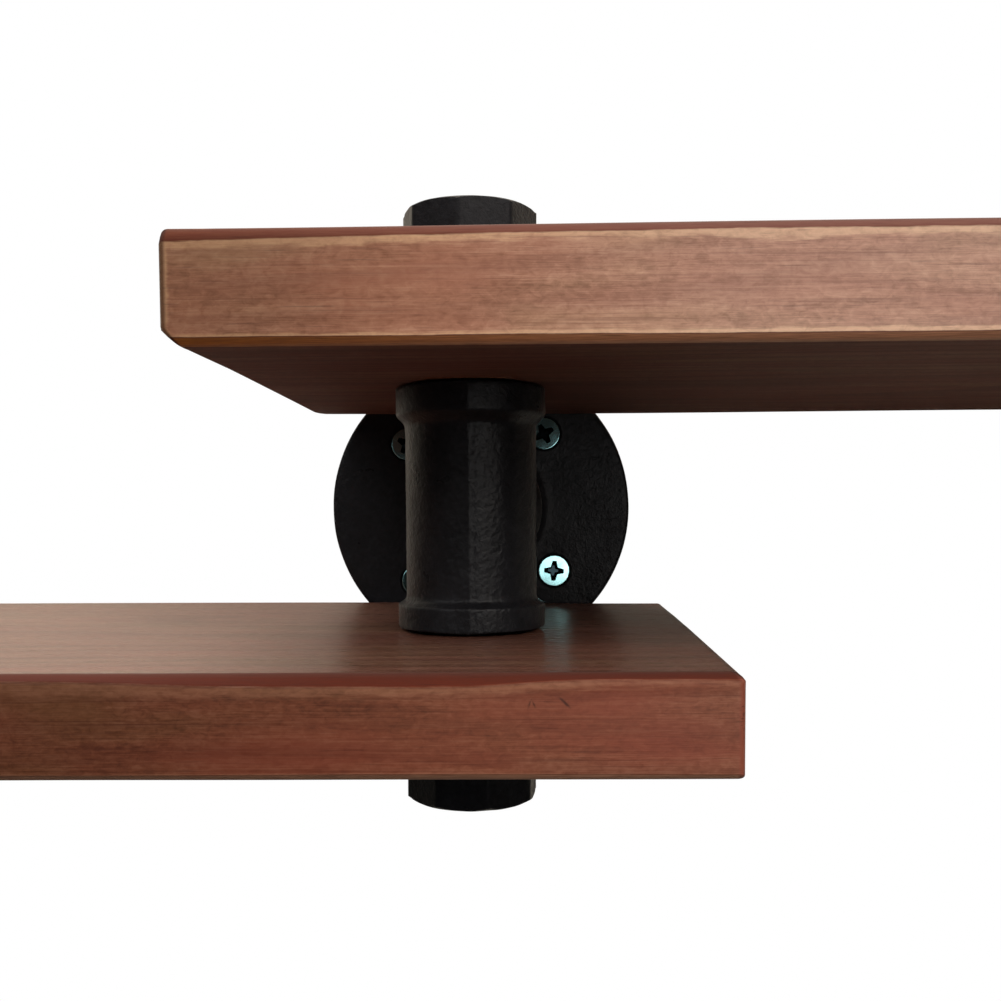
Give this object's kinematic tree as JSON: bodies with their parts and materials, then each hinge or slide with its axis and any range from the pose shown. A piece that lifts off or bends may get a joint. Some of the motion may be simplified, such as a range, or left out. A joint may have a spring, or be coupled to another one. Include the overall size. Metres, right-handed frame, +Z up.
{
  "type": "floating wall shelf",
  "caption": "Staggered wooden wall shelf boards clamped by octagonal caps to black iron pipe brackets, with round screwed wall flanges.",
  "frame": {"origin": "where the middle flange's axis meets the wall", "axes": "+X right along the wall, +Y into the wall, +Z up"},
  "size_m": [1.096, 0.197, 0.1442],
  "materials": {
    "board_wood": "reddish brown stain, satin varnish",
    "fitting_iron": "black, fine casting grain",
    "pipe_steel": "black lacquered pipe",
    "screw_zinc": "bright zinc plate"
  },
  "bodies": {
    "root": {"upper_board": "board_wood", "lower_board": "board_wood", "left_flange": "fitting_iron", "middle_flange": "fitting_iron", "right_flange": "fitting_iron", "left_elbow": "fitting_iron", "right_elbow": "fitting_iron", "middle_tee": "fitting_iron", "left_lower_cap": "fitting_iron", "middle_lower_cap": "fitting_iron", "middle_upper_cap": "fitting_iron", "right_upper_cap": "fitting_iron", "left_wall_nipple": "pipe_steel", "middle_wall_nipple": "pipe_steel", "right_wall_nipple": "pipe_steel", "left_lower_nipple": "pipe_steel", "middle_lower_nipple": "pipe_steel", "middle_upper_nipple": "pipe_steel", "right_upper_nipple": "pipe_steel", "left_wall_screw_1": "screw_zinc", "left_wall_screw_2": "screw_zinc", "left_wall_screw_3": "screw_zinc", "left_wall_screw_4": "screw_zinc", "middle_wall_screw_1": "screw_zinc", "middle_wall_screw_2": "screw_zinc", "middle_wall_screw_3": "screw_zinc", "middle_wall_screw_4": "screw_zinc", "right_wall_screw_1": "screw_zinc", "right_wall_screw_2": "screw_zinc", "right_wall_screw_3": "screw_zinc", "right_wall_screw_4": "screw_zinc"}
  },
  "joints": []
}
